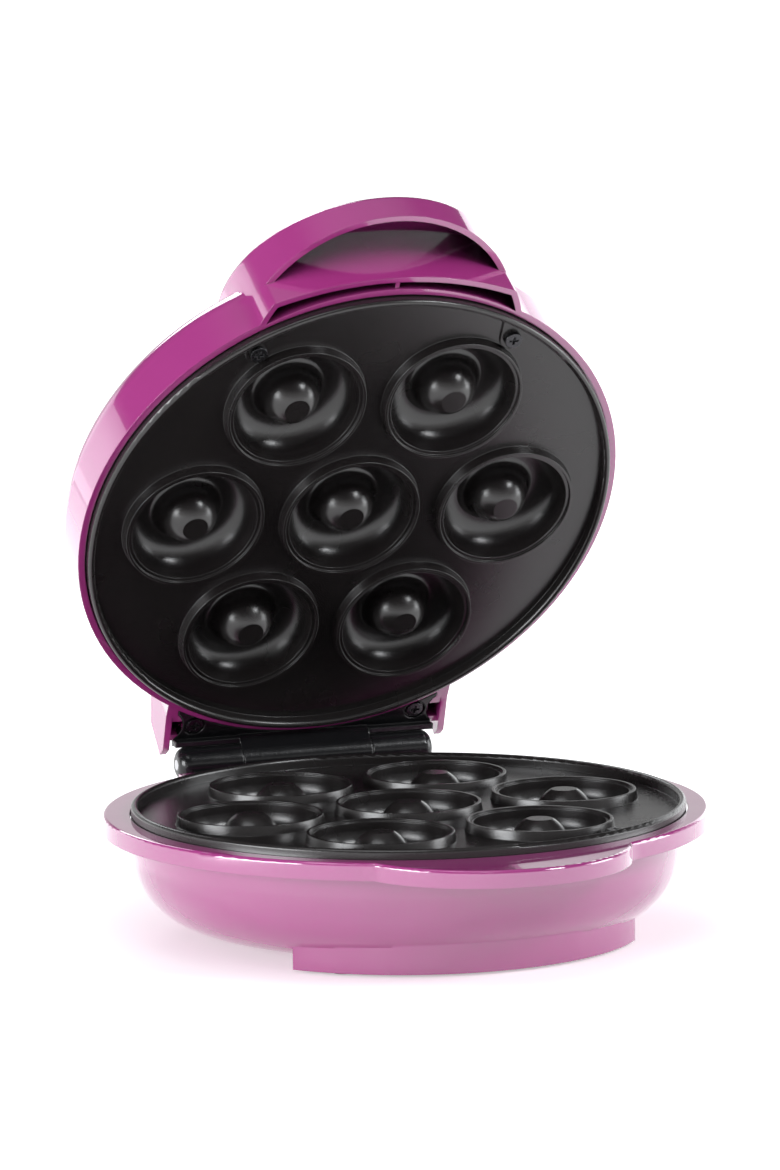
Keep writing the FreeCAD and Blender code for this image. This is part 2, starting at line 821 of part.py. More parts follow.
def crown_height(radius, inset=0):
    """Height of the crowned top at a distance from the middle."""
    slope = math.radians(crown_slope)
    shoulder_z = lid_rim + lid_straight
    edge_r = lid_radius - lid_round * (1 - math.sin(slope))
    edge_z = shoulder_z + lid_round * math.cos(slope)
    crown = edge_r / math.sin(slope)
    centre_z = edge_z - crown * math.cos(slope)
    return centre_z + math.sqrt((crown - inset) ** 2 - radius ** 2)


def dome_solid(inset, low):
    slope = math.radians(crown_slope)
    shoulder_z = lid_rim + lid_straight
    shoulder_r = lid_radius - lid_round
    arm = lid_round - inset
    edge_r = shoulder_r + arm * math.sin(slope)
    edge_z = shoulder_z + arm * math.cos(slope)
    half_turn = math.radians(45 - crown_slope / 2)
    middle_r = edge_r / 2
    return turned(outline((0, low),
                          (lid_radius - inset, low),
                          (lid_radius - inset, shoulder_z),
                          (shoulder_r + arm * math.cos(half_turn), shoulder_z + arm * math.sin(half_turn),
                           edge_r, edge_z),
                          (middle_r, crown_height(middle_r, inset), 0, crown_height(0, inset))))


def handle_axis():
    """Centre of the arched handle top, seen from the side."""
    front_y = lobe_centre_y - lobe_radius
    slope = math.radians(handle_slope)
    return front_y + handle_arch * math.sin(slope), handle_front - handle_arch * math.cos(slope)


def handle_height(y, inset=0):
    centre_y, centre_z = handle_axis()
    return centre_z + math.sqrt((handle_arch - inset) ** 2 - (y - centre_y) ** 2)


def lobe_solid(inset, low):
    """Round front of the lid that makes the handle; its arched top climbs back into the crown."""
    centre_y, centre_z = handle_axis()
    column = rod(lobe_radius - inset, low, crown_height(0), 0, lobe_centre_y)
    arch = cross_rod(handle_arch - inset, -2 * lobe_radius, 2 * lobe_radius, centre_y, centre_z)
    lobe = column.common(arch)
    rim = [edge for edge in lobe.Edges if edge.BoundBox.ZMin > low + handle_round and edge.BoundBox.XLength > fit_gap]
    return lobe.makeFillet(handle_round - inset, rim)


def tail_points(inset, low):
    rear = tail_rear - inset
    top = lid_rim + tail_height - inset
    climb = math.tan(math.radians(tail_slope))
    return [(tail_front, low), (rear, low), (rear + tail_lean, top),
            (lid_radius - 2 * lid_round, top + (rear + tail_lean - lid_radius + 2 * lid_round) * climb),
            (tail_front, top)]


def ear_points():
    top = lid_rim + tail_height
    climb = math.tan(math.radians(tail_slope))
    run = 3 * ear_reach
    return [(tail_rear - 2 * ear_reach, lid_rim), (tail_rear + ear_reach / 3, lid_rim - ear_dip),
            (tail_rear + ear_reach, lid_rim - ear_dip / 3), (tail_rear + tail_lean, top),
            (tail_rear + tail_lean - run, top + run * climb)]


def light_places():
    return [(x, light_y) for x in (-light_x, light_x)]


def light_seat():
    """Flat seat inside the lid for the lens flanges."""
    return handle_height(light_y, lobe_wall) - light_boss_drop


def holder_top():
    return light_seat() - lens_flange - lamp_gap - lamp_length


def make_lid_shell():
    deep = crown_height(0)
    dome = dome_solid(0, lid_rim)
    grip_disc = rod(grip_wall_radius, lid_rim, deep, 0, grip_wall_centre_y)
    slot_block = rod(lobe_radius, lid_rim, lobe_rim + lobe_wall, 0, lobe_centre_y).common(grip_disc)
    tail = side_plate(tail_points(0, lid_rim), -tail_half, tail_half)
    ears = both_sides(side_plate(ear_points(), tail_half - ear_thickness, tail_half))
    outside = dome.fuse([lobe_solid(0, lobe_rim), slot_block, tail] + ears)

    hollow = lobe_solid(lobe_wall, 0)
    recess = hollow.cut(rod(grip_wall_radius, 0, deep, 0, grip_wall_centre_y))
    slot = hollow.common(rod(grip_wall_radius - lobe_wall, 0, deep, 0, grip_wall_centre_y))
    slot = slot.cut(rod(slot_face_radius, 0, deep, 0, slot_face_radius - lid_radius))
    rib = box(-slot_rib / 2, slot_rib / 2, 2 * lobe_centre_y, 0, lid_rim + slot_rib_setback, deep)
    slot = slot.cut(rib)

    seat_high = seat_level + seat_thickness
    bosses = [rod(screw_boss, seat_level, deep, x, plate_screw_y) for x in (-plate_screw_x, plate_screw_x)]
    bosses += [rod(light_boss_radius, light_seat(), deep, x, y) for x, y in light_places()]
    bosses += [rod(holder_post_radius, holder_top(), deep, x, light_y) for x in (-holder_post_x, holder_post_x)]
    tail_floor = leaf_top() + lid_wall
    tail_room = side_plate(tail_points(lid_wall, tail_floor), ear_thickness - tail_half, tail_half - ear_thickness)
    tail_room = tail_room.cut([rod(screw_boss, leaf_top(), deep, x, hinge_screw_y)
                               for x in (-hinge_screw_x, hinge_screw_x)])
    handle_room = lobe_solid(lobe_wall, seat_high).common(rod(pocket_radius, seat_high, deep))
    room = dome_solid(lid_wall, seat_high).fuse(handle_room).cut(bosses)
    throat = rod(throat_radius, seat_level, seat_high).cut(bosses)
    shell = outside.cut([recess, slot, room, throat, tail_room, rod(pocket_radius, 0, seat_level)])

    cuts = [leaf_outline(fit_gap, 0, leaf_top())]
    for x in (-1, 1):
        outer = x * (tail_half - ear_thickness)
        inner = x * (tail_half - ear_thickness - tail_slot_width)
        cuts.append(box(min(outer, inner), max(outer, inner), tail_inside() - tail_slot_length, tail_inside(),
                        0, tail_floor))
        cuts.append(rod(hinge_shank, leaf_top(), leaf_top() + post_thread + fit_gap, x * hinge_screw_x,
                        hinge_screw_y))
        cuts.append(rod(plate_shank, seat_level, seat_level + plate_thread + fit_gap, x * plate_screw_x,
                        plate_screw_y))
        cuts.append(rod(lens_radius + fit_gap / 2, light_seat(), deep, x * light_x, light_y))
        cuts.append(rod(small_shank, holder_top(), holder_top() + post_thread, x * holder_post_x, light_y))
    return shell.cut(cuts)


# Lights

def make_lens(x):
    seat = light_seat()
    top = handle_height(light_y + lens_radius) + lens_rise
    ball = (lens_radius ** 2 + lens_rise ** 2) / (2 * lens_rise)
    half_turn = math.asin(lens_radius / ball) / 2
    reach = ball * math.sin(half_turn)
    dome = ball * (1 - math.cos(half_turn))
    return turned(outline((0, seat - lens_flange),
                          (lens_flange_radius, seat - lens_flange),
                          (lens_flange_radius, seat),
                          (lens_radius, seat),
                          (lens_radius, top - lens_rise),
                          (reach, top - dome, 0, top)), x, light_y)


def make_lamps():
    low = holder_top()
    half_round = lamp_radius * math.sqrt(0.5)
    lamps = []
    for x, y in light_places():
        side_top = low + lamp_length - lamp_radius
        lamps.append(turned(outline((0, low), (lamp_radius, low), (lamp_radius, side_top),
                                    (half_round, side_top + half_round, 0, low + lamp_length)), x, y))
    return lamps


def make_lamp_holder():
    top = holder_top()
    low = top - holder_sheet
    half = holder_depth / 2
    plate = box(-holder_half, holder_half, light_y - half, light_y + half, low, top)
    bores = [rod(small_shank + fit_gap, low, top, x, light_y) for x in (-holder_post_x, holder_post_x)]
    return plate.cut(bores)


def make_holder_screws():
    seat = holder_top() - holder_sheet
    length = holder_sheet + post_thread
    return [pointing_up(screw(small_shank, length, small_head, small_head_height, x, -light_y, seat), seat)
            for x in (-holder_post_x, holder_post_x)]


# Thermostat, fuse, terminals and wires

def make_thermostat():
    """Disc thermostat on the middle cup of the upper plate."""
    seat = -cup_bottom
    half = thermostat_ear_width / 2
    ear = box(-thermostat_ear_half, thermostat_ear_half, -half, half, seat, seat + clip_sheet)
    top = seat + clip_sheet + thermostat_height
    body = ear.fuse(rod(thermostat_radius, seat, top))
    thin = blade_sheet / 2
    blades = [box(x - blade_width / 2, x + blade_width / 2, -thin, thin, top, top + blade_height)
              for x in (-blade_x, blade_x)]
    bores = [rod(small_shank + fit_gap, seat, seat + clip_sheet, x, 0)
             for x in (-thermostat_screw_x, thermostat_screw_x)]
    return body.fuse(blades).cut(bores).removeSplitter()


def make_thermostat_screws():
    seat = clip_sheet - cup_bottom
    length = clip_sheet + small_thread
    return [screw(small_shank, length, small_head, small_head_height, x, 0, seat)
            for x in (-thermostat_screw_x, thermostat_screw_x)]


def make_fuse():
    return cross_rod(fuse_radius, -fuse_half, fuse_half, fuse_y, fuse_radius - cup_bottom)


def make_fuse_clip():
    seat = -cup_bottom
    half = fuse_clip_width / 2
    inner = fuse_y - fuse_radius - fit_gap / 2
    outer = fuse_y + fuse_radius + fit_gap / 2
    top = seat + 2 * fuse_radius + fit_gap / 2
    tab = fuse_screw_y() + small_head
    points = [(inner, top), (outer, top), (outer, seat), (tab, seat), (tab, seat + clip_sheet),
              (outer + clip_sheet, seat + clip_sheet), (outer + clip_sheet, top + clip_sheet),
              (inner, top + clip_sheet)]
    strap = side_plate(points, -half, half)
    return strap.cut(rod(small_shank + fit_gap, seat, seat + clip_sheet, 0, fuse_screw_y()))


def make_fuse_screw():
    seat = clip_sheet - cup_bottom
    return screw(small_shank, clip_sheet + small_thread, small_head, small_head_height, 0, fuse_screw_y(), seat)


def make_terminal_block():
    half_w = terminal_width / 2
    half_d = terminal_depth / 2
    body = box(-half_w, half_w, terminal_y - half_d, terminal_y + half_d, bowl_inside,
               bowl_inside + terminal_height)
    slots = [box(x - terminal_height / 2, x + terminal_height / 2, terminal_y - half_d / 2,
                 terminal_y + half_d / 2, bowl_inside + terminal_height / 2, bowl_inside + terminal_height)
             for x in (-heater_leg_x / 2 - small_head, heater_leg_x / 2 + small_head)]
    bores = [rod(small_shank + fit_gap, bowl_inside, bowl_inside + terminal_height, x, terminal_y)
             for x in (-terminal_screw_x, terminal_screw_x)]
    return body.cut(slots + bores)


def make_terminal_screws():
    seat = bowl_inside + terminal_height
    return [screw(small_shank, terminal_height, small_head, small_head_height, x, terminal_y, seat)
            for x in (-terminal_screw_x, terminal_screw_x)]


def make_lower_wires():
    pin_end = heater_leg_end + heater_pin
    rear = terminal_y + terminal_depth / 2
    level = bowl_inside + terminal_height / 2
    wires = []
    for x in (-heater_leg_x, heater_leg_x):
        points = [(x, pin_end, heater_level), (x, wire_turn_y, heater_level), (x, wire_turn_y, level),
                  (x, rear, level)]
        wires.append(tube(points, wire_bend, wire_radius))
    return wires


def make_lid_wires():
    pin_end = heater_leg_end + heater_pin
    level = -cup_bottom + clip_sheet + thermostat_height + blade_height / 2
    straight = 2 * wire_bend
    wires = []
    for side in (-1, 1):
        far = side * heater_leg_x
        near = side * blade_x
        points = [(far, pin_end, -heater_level), (far, wire_turn_y, -heater_level), (far, wire_turn_y, level),
                  (near, straight, level), (near, blade_sheet / 2, level)]
        wires.append(tube(points, wire_bend, wire_radius))
    return wires


# Assembly

base_nodes = {
    "base_shell": make_base_shell(),
    "lower_plate": make_plate(),
    "lower_plate_screws": make_plate_screws(),
    "lower_heating_element": make_heater(),
    "lower_heater_clips": make_clips(),
    "lower_clip_screws": make_clip_screws(),
    "lower_heat_shield": make_shield(),
    "lower_shield_screws": make_shield_screws(),
    "terminal_block": make_terminal_block(),
    "terminal_block_screws": make_terminal_screws(),
    "lower_wiring": make_lower_wires(),
    "cord_gland": make_gland(),
    "rubber_feet": make_feet(),
    "base_hinge_bracket": make_base_bracket(),
    "base_hinge_screws": make_bracket_screws(),
    "hinge_pin": make_pin(),
}

lid_nodes = {
    "lid_shell": make_lid_shell(),
    "upper_plate": make_upper_plate(),
    "upper_plate_screws": [upside_down(one) for one in make_plate_screws()],
    "upper_heating_element": upside_down(make_heater()),
    "upper_heater_clips": [upside_down(one) for one in make_clips()],
    "upper_clip_screws": [upside_down(one) for one in make_clip_screws()],
    "upper_heat_shield": make_upper_shield(),
    "upper_shield_screws": [upside_down(one) for one in make_shield_screws()],
    "thermostat": make_thermostat(),
    "thermostat_screws": make_thermostat_screws(),
    "thermal_fuse": make_fuse(),
    "thermal_fuse_clip": make_fuse_clip(),
    "thermal_fuse_screw": make_fuse_screw(),
    "lid_hinge_bracket": make_lid_bracket(),
    "lid_hinge_screws": make_lid_hinge_screws(),
    "power_light_lens": make_lens(-light_x),
    "ready_light_lens": make_lens(light_x),
    "indicator_lamps": make_lamps(),
    "lamp_holder": make_lamp_holder(),
    "lamp_holder_screws": make_holder_screws(),
    "lid_wiring": make_lid_wires(),
}


def as_one(shape):
    return Part.makeCompound(shape) if isinstance(shape, list) else shape


def swung_open(shape):
    shape.rotate(V(0, hinge_y, hinge_z), V(-1, 0, 0), open_angle)
    return shape


nodes = {name: as_one(shape) for name, shape in base_nodes.items()}
nodes.update({name: swung_open(as_one(shape)) for name, shape in lid_nodes.items()})

reach = Part.makeCompound(list(nodes.values())).optimalBoundingBox(False, False)
to_origin = V(-(reach.XMin + reach.XMax) / 2, -(reach.YMin + reach.YMax) / 2, -reach.ZMin)

os.makedirs("parts", exist_ok=True)
for name, shape in nodes.items():
    shape.translate(to_origin)
    shape.exportStep("parts/" + name + ".step")
    print(name, len(shape.Solids), "solids", round(shape.Volume, 1), "mm3", shape.isValid())

print("hinge axis at y", round(hinge_y + to_origin.y, 4), "z", round(hinge_z + to_origin.z, 4))
print("plate centre at y", round(to_origin.y, 4), "parting plane at z", round(to_origin.z, 4))
print("overall", round(reach.XLength, 2), round(reach.YLength, 2), round(reach.ZLength, 2))
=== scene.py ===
# %% [markdown]
# # A donut maker, dressed for its photograph
# The solid model of the appliance comes in as a fixed frame: every piece is already in its place, in metres.
# Nothing here moves those pieces. This lesson gives each one the finish that it has on the real appliance,
# sets up a small white studio and puts the camera where the photographer stood.

# %% Load the frame
import math

import bpy
from mathutils import Matrix, Vector

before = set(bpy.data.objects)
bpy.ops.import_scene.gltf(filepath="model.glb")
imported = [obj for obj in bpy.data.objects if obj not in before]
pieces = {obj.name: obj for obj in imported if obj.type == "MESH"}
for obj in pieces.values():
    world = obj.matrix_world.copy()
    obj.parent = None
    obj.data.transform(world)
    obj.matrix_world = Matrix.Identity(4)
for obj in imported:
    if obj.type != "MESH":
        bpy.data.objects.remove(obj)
scene = bpy.context.scene
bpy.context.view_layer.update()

# %% [markdown]
# ## Smooth gloss over facets
# The solids arrive as triangles, and gloss shows every one of them along the small roundings. Two modifiers
# on each piece mend the shading and leave the shape alone: the first joins the faces at their common points
# and keeps only true corners sharp, the second lets the large faces set the direction of the surface. The two
# plates stay as they are, because the low crisp edge round the flat top of each post would go soft.

# %% Even out the shading
corner_angle = math.radians(62)
joined_within = 1e-6
large_face_weight = 20

even = bpy.data.node_groups.new("even_shading", "GeometryNodeTree")
for side in ("INPUT", "OUTPUT"):
    even.interface.new_socket("Geometry", in_out=side, socket_type="NodeSocketGeometry")
steps = [even.nodes.new(kind) for kind in (
    "NodeGroupInput", "GeometryNodeMergeByDistance", "GeometryNodeSetShadeSmooth",
    "GeometryNodeSetShadeSmooth", "NodeGroupOutput")]
for before, after in zip(steps, steps[1:]):
    even.links.new(before.outputs[0], after.inputs[0])
joined, corners = steps[1], steps[3]
joined.inputs["Distance"].default_value = joined_within
corners.domain = "EDGE"
corners.inputs["Shade Smooth"].default_value = False
fold = even.nodes.new("GeometryNodeInputMeshEdgeAngle")
is_corner = even.nodes.new("FunctionNodeCompare")
is_corner.inputs[1].default_value = corner_angle
even.links.new(fold.outputs["Unsigned Angle"], is_corner.inputs[0])
even.links.new(is_corner.outputs["Result"], corners.inputs["Selection"])

evened = [piece for name, piece in pieces.items() if name not in ("lower_plate", "upper_plate")]
for piece in evened:
    piece.modifiers.new("even_shading", "NODES").node_group = even
    large_first = piece.modifiers.new("large_faces_first", "WEIGHTED_NORMAL")
    large_first.mode = "FACE_AREA_WITH_ANGLE"
    large_first.weight = large_face_weight
    large_first.keep_sharp = True
print("evened:", len(evened), "pieces, corners from", round(math.degrees(corner_angle)), "degrees")

# %% [markdown]
# ## Camera
# The lid and the base both carry seven wells on a known grid, so the camera could be worked out from where
# the wells appear in the photograph: far away, a little left of the middle and just above the rim, through
# a long lens. A long lens keeps the two round plates nearly free of perspective, as in a catalogue picture.

# %% Place the camera
picture_height = 1170
focal_pixels = 7381.5
yaw, pitch, roll = math.radians(-20.367), math.radians(8.506), math.radians(0.741)
eye = Vector((-0.9119, -2.4427, 0.51475))

right = Vector((math.cos(yaw), math.sin(yaw), 0))
back = Vector((math.sin(yaw) * math.cos(pitch), -math.cos(yaw) * math.cos(pitch), math.sin(pitch)))
up = back.cross(right)
across = right * math.cos(roll) - up * math.sin(roll)
upward = right * math.sin(roll) + up * math.cos(roll)

camera_data = bpy.data.cameras.new("photo_camera")
camera_data.sensor_width = 36
camera_data.lens = focal_pixels / picture_height * camera_data.sensor_width
camera_data.clip_end = 50
camera = bpy.data.objects.new("photo_camera", camera_data)
scene.collection.objects.link(camera)
camera.matrix_world = Matrix.Translation(eye) @ Matrix((across, upward, back)).transposed().to_4x4()
scene.camera = camera
print("lens:", round(camera_data.lens, 1), "mm, distance:", round(eye.length, 2), "m")

# %% [markdown]
# ## Studio
# The photograph has a pure white ground, yet much of the gloss on the lid reflects something dark. So the
# studio had a white floor and white low down all round, under a dark ceiling. The world copies that: to the
# camera it is white, to reflections it is white at the horizon and falls off above, and as a light it is weak
# and even. Three small helpers build its nodes, and the floor uses them again.

# %% Helpers for the studio
def combine(tree, operation, first, second):
    node = tree.nodes.new("ShaderNodeMath")
    node.operation = operation
    tree.links.new(first, node.inputs[0])
    tree.links.new(second, node.inputs[1])
    return node.outputs[0]


def between(tree, value, low, high, at_low, at_high):
    """A smooth step from one number to another."""
    node = tree.nodes.new("ShaderNodeMapRange")
    node.interpolation_type = "SMOOTHSTEP"
    node.inputs["From Min"].default_value = low
    node.inputs["From Max"].default_value = high
    node.inputs["To Min"].default_value = at_low
    node.inputs["To Max"].default_value = at_high
    tree.links.new(value, node.inputs["Value"])
    return node.outputs["Result"]


def looked_at(tree, ray):
    """One for a ray that sees a surface or the room itself, nought for a ray that only gathers light."""
    mirrored = combine(tree, "MAXIMUM", ray["Is Glossy Ray"], ray["Is Transmission Ray"])
    return combine(tree, "MAXIMUM", ray["Is Camera Ray"], mirrored)


# %% World
horizon_white, wall_dark, ceiling_grey = 1.0, 0.08, 0.35
wall_foot, wall_head = 0.12, 0.34
ceiling_edge, ceiling_middle = 0.70, 0.95
room_colour = (0.96, 0.97, 1.0, 1)
room_strength = 0.22

scene.view_settings.view_transform = "Standard"
world = bpy.data.worlds.new("white_room")
scene.world = world
world.use_nodes = True
sky = world.node_tree
sky.nodes.clear()

direction = sky.nodes.new("ShaderNodeTexCoord")
height = sky.nodes.new("ShaderNodeSeparateXYZ")
sky.links.new(direction.outputs["Generated"], height.inputs[0])
walls = between(sky, height.outputs["Z"], wall_foot, wall_head, horizon_white, wall_dark)
ceiling = between(sky, height.outputs["Z"], ceiling_edge, ceiling_middle, 0.0, ceiling_grey - wall_dark)
ray = sky.nodes.new("ShaderNodeLightPath").outputs
seen = looked_at(sky, ray)
room_ground = sky.nodes.new("ShaderNodeBackground")
brightness = combine(sky, "MAXIMUM", combine(sky, "ADD", walls, ceiling), ray["Is Camera Ray"])
sky.links.new(brightness, room_ground.inputs["Strength"])
room_light = sky.nodes.new("ShaderNodeBackground")
room_light.inputs["Color"].default_value = room_colour
room_light.inputs["Strength"].default_value = room_strength
room = sky.nodes.new("ShaderNodeMixShader")
sky.links.new(seen, room.inputs["Fac"])
sky.links.new(room_light.outputs[0], room.inputs[1])
sky.links.new(room_ground.outputs[0], room.inputs[2])
sky_output = sky.nodes.new("ShaderNodeOutputWorld")
sky.links.new(room.outputs[0], sky_output.inputs["Surface"])
print("world:", world.name, "walls at", wall_dark, "ceiling at", ceiling_grey)

# %% [markdown]
# ## Floor
# The floor is plain white paper, which takes the soft shadow of the appliance and throws light back up under
# the bowl. To the camera and to reflections it also glows, weakly close by and fully further out, because an
# overlit studio floor turns pure white there.

# %% White floor
floor_radius = 9.0
floor_drop = 0.0002
paper_white = (0.85, 0.85, 0.85, 1)
close_ring, close_glow = (0.08, 0.20), (0.45, 0.75)
far_ring, far_glow = (0.25, 1.00), (0.0, 0.25)

bpy.ops.mesh.primitive_circle_add(
    vertices=96, radius=floor_radius, fill_type="NGON", location=(0, 0, -floor_drop))
floor = bpy.context.object
floor.name = "studio_floor"
paper = bpy.data.materials.new("white_paper")
paper.use_nodes = True
tree = paper.node_tree
sheet = tree.nodes["Principled BSDF"]
sheet.inputs["Base Color"].default_value = paper_white
sheet.inputs["Roughness"].default_value = 0.9
sheet.inputs["Specular IOR Level"].default_value = 0.2
spot = tree.nodes.new("ShaderNodeNewGeometry")
reach = tree.nodes.new("ShaderNodeVectorMath")
reach.operation = "LENGTH"
tree.links.new(spot.outputs["Position"], reach.inputs[0])
close_by = between(tree, reach.outputs["Value"], *close_ring, *close_glow)
far_out = between(tree, reach.outputs["Value"], *far_ring, *far_glow)
seen = looked_at(tree, tree.nodes.new("ShaderNodeLightPath").outputs)
glow = tree.nodes.new("ShaderNodeEmission")
glow_strength = combine(tree, "MULTIPLY", combine(tree, "ADD", close_by, far_out), seen)
tree.links.new(glow_strength, glow.inputs["Strength"])
ground = tree.nodes.new("ShaderNodeAddShader")
tree.links.new(sheet.outputs[0], ground.inputs[0])
tree.links.new(glow.outputs[0], ground.inputs[1])
tree.links.new(ground.outputs[0], tree.nodes["Material Output"].inputs["Surface"])
floor.data.materials.append(paper)
print("floor:", floor_radius * 2, "m across")

# %% [markdown]
# ## Lamps
# The gloss tells where the lamps stood. A sharp pale band low on the left side of the lid mirrors a panel
# behind it on the left; the right end of the handle and the right of the bowl mirror another behind on the
# right. The spots on the posts in the wells show a low window on the left, a broad dim panel on the right and
# a small key lamp high in front. Rectangular area lamps stand in those places, and one more, straight behind,
# keeps the back of the lid from going dull.

# %% Panels
lamp_colour = (0.96, 0.98, 1.0)
lamp_aim = Vector((0, 0, 0.1))


def panel(name, azimuth, distance, low, high, width, radiance):
    """Upright lamp that faces the middle; the azimuth is seen from above, nought in front, right positive."""
    turn = math.radians(azimuth)
    place = Vector((distance * math.sin(turn), -distance * math.cos(turn), (low + high) / 2))
    data = bpy.data.lights.new(name, "AREA")
    data.shape = "RECTANGLE"
    data.size = width
    data.size_y = high - low
    data.energy = radiance * math.pi * width * (high - low)
    data.color = lamp_colour
    lamp = bpy.data.objects.new(name, data)
    scene.collection.objects.link(lamp)
    lamp.location = place
    lamp.rotation_euler = (lamp_aim - place).to_track_quat("-Z", "Y").to_euler()
    lamp.visible_camera = False
    return lamp


lamps = [
    panel("left_window", -78, 1.8, low=0.04, high=0.64, width=1.10, radiance=11.0),
    panel("right_panel", 80, 1.6, low=0.02, high=0.80, width=0.80, radiance=5.5),
    panel("front_key", 42, 2.1, low=1.25, high=1.85, width=0.50, radiance=22.0),
    panel("top_front_box", -45, 0.8, low=1.20, high=2.00, width=1.20, radiance=2.4),
    panel("rear_left_panel", -148, 2.0, low=0.02, high=0.73, width=1.00, radiance=0.9),
    panel("rear_right_panel", 136, 2.0, low=0.02, high=0.90, width=1.00, radiance=1.5),
    panel("rear_soft_box", 180, 1.8, low=0.75, high=1.75, width=0.80, radiance=4.0),
]
print("lamps:", [(lamp.name, round(lamp.data.energy, 1)) for lamp in lamps])

# %% [markdown]
# ## Building finishes
# Each finish starts from Blender's one general surface shader. A small helper makes it, and others add the
# fine grain that catches light: a noise pattern read as height by a bump node, and a second, coarser noise
# that lets the gloss wander a little.

# %% Helpers for finishes
def new_finish(name, colour, roughness, metal=0.0):
    finish = bpy.data.materials.new(name)
    finish.use_nodes = True
    surface = finish.node_tree.nodes["Principled BSDF"]
    surface.inputs["Base Color"].default_value = (*colour, 1)
    surface.inputs["Roughness"].default_value = roughness
    surface.inputs["Metallic"].default_value = metal
    return finish, surface


def add_node(finish, kind, **settings):
    node = finish.node_tree.nodes.new(kind)
    for key, value in settings.items():
        setattr(node, key, value)
    return node


def join(finish, source, target):
    finish.node_tree.links.new(source, target)


def grain(finish, scale, detail=3.0):
    """Noise in the object's own space, so that it rides with the piece."""
    place = add_node(finish, "ShaderNodeTexCoord")
    noise = add_node(finish, "ShaderNodeTexNoise")
    noise.inputs["Scale"].default_value = scale
    noise.inputs["Detail"].default_value = detail
    join(finish, place.outputs["Object"], noise.inputs["Vector"])
    return noise.outputs["Fac"]


def ramp(finish, value, low, high):
    """Turn noise into a range of numbers."""
    node = add_node(finish, "ShaderNodeMapRange")
    node.inputs["To Min"].default_value = low
    node.inputs["To Max"].default_value = high
    join(finish, value, node.inputs["Value"])
    return node.outputs["Result"]


def tint(finish, value, dark, light):
    """Blend two colours by noise."""
    node = add_node(finish, "ShaderNodeMix", data_type="RGBA")
    join(finish, value, node.inputs["Factor"])
    node.inputs["A"].default_value = (*dark, 1)
    node.inputs["B"].default_value = (*light, 1)
    return node.outputs["Result"]


def relief(finish, surface, height, depth, edge=0.0):
    """Fine bumps, over edges that are softened by a small radius."""
    bump = add_node(finish, "ShaderNodeBump")
    bump.inputs["Strength"].default_value = 1.0
    bump.inputs["Distance"].default_value = depth
    join(finish, height, bump.inputs["Height"])
    if edge:
        softened = add_node(finish, "ShaderNodeBevel", samples=6)
        softened.inputs["Radius"].default_value = edge
        join(finish, softened.outputs["Normal"], bump.inputs["Normal"])
    join(finish, bump.outputs["Normal"], surface.inputs["Normal"])


def grained_finish(name, colour, rough, cloud, pebble, depth, edge, metal=0.0):
    """One colour, with a gloss that wanders between two values and a fine pebble."""
    finish, surface = new_finish(name, colour, rough[0], metal)
    join(finish, ramp(finish, grain(finish, cloud), *rough), surface.inputs["Roughness"])
    relief(finish, surface, grain(finish, pebble), depth, edge)
    return finish


def dress(finish, *names):
    for name in names:
        mesh = pieces[name].data
        mesh.materials.clear()
        mesh.materials.append(finish)
    print(finish.name, "on", ", ".join(names))


# %% [markdown]
# ## Magenta plastic
# Both shells are moulded in one gloss magenta plastic. It is a deep colour under a clear skin, so the shader
# has a strong base colour, a smooth surface and faint ripples from the mould, with every edge eased. The
# finger recess and the slots are deep hollows that look nearly black. That darkness is painted shade: the
# ambient occlusion node tells how sheltered each spot of a shell is by the shell itself, and the colour is
# painted down to a dark plum in those hollows, in place of the shade that falls there. It depends on the
# shape alone, so it stays put from every side and in every pose.

# %% Shells
magenta, magenta_dark, magenta_light = (0.45, 0.042, 0.25), (0.43, 0.042, 0.245), (0.47, 0.048, 0.275)
# Painted shade: the dark plum that the colour sinks to in the sheltered hollows, and how far the shelter is
# sought.
painted_shade_plum = (0.03, 0.004, 0.018)
painted_shade_reach = 0.03
painted_shade_full_at, painted_shade_none_at = 0.12, 0.60

plastic, plastic_surface = new_finish("magenta_plastic", magenta, 0.12)
plastic_surface.inputs["IOR"].default_value = 1.5
plastic_surface.inputs["Coat Weight"].default_value = 1.0
plastic_surface.inputs["Coat Roughness"].default_value = 0.03
plastic_surface.inputs["Coat IOR"].default_value = 2.0
haze = grain(plastic, 35.0)
join(plastic, ramp(plastic, haze, 0.09, 0.17), plastic_surface.inputs["Roughness"])
# Painted shade: ambient occlusion darkens the base colour where the shell shelters itself.
painted_shade_shelter = add_node(plastic, "ShaderNodeAmbientOcclusion", samples=8, only_local=True)
painted_shade_shelter.inputs["Distance"].default_value = painted_shade_reach
painted_shade_fade = add_node(plastic, "ShaderNodeMapRange")
painted_shade_fade.inputs["From Min"].default_value = painted_shade_full_at
painted_shade_fade.inputs["From Max"].default_value = painted_shade_none_at
join(plastic, painted_shade_shelter.outputs["AO"], painted_shade_fade.inputs["Value"])
skin_with_painted_shade = add_node(plastic, "ShaderNodeMix", data_type="RGBA")
skin_with_painted_shade.inputs["A"].default_value = (*painted_shade_plum, 1)
join(plastic, painted_shade_fade.outputs["Result"], skin_with_painted_shade.inputs["Factor"])
join(plastic, tint(plastic, haze, magenta_dark, magenta_light), skin_with_painted_shade.inputs["B"])
join(plastic, skin_with_painted_shade.outputs["Result"], plastic_surface.inputs["Base Color"])
relief(plastic, plastic_surface, grain(plastic, 60.0, detail=1.0), depth=0.00006, edge=0.0008)
dress(plastic, "base_shell", "lid_shell")

# %% [markdown]
# ## Non-stick plates
# The plates are cast aluminium under a sprayed, baked coat. It is near black and satin, a little warm, with a
# fine pebble from the spray and grey specks that shimmer. Two noises of different size make it: one for
# height, one for specks.

# %% Plates
coat_black, speck_dark, speck_light = (0.012, 0.012, 0.014), (0.009, 0.0075, 0.0075), (0.024, 0.020, 0.020)

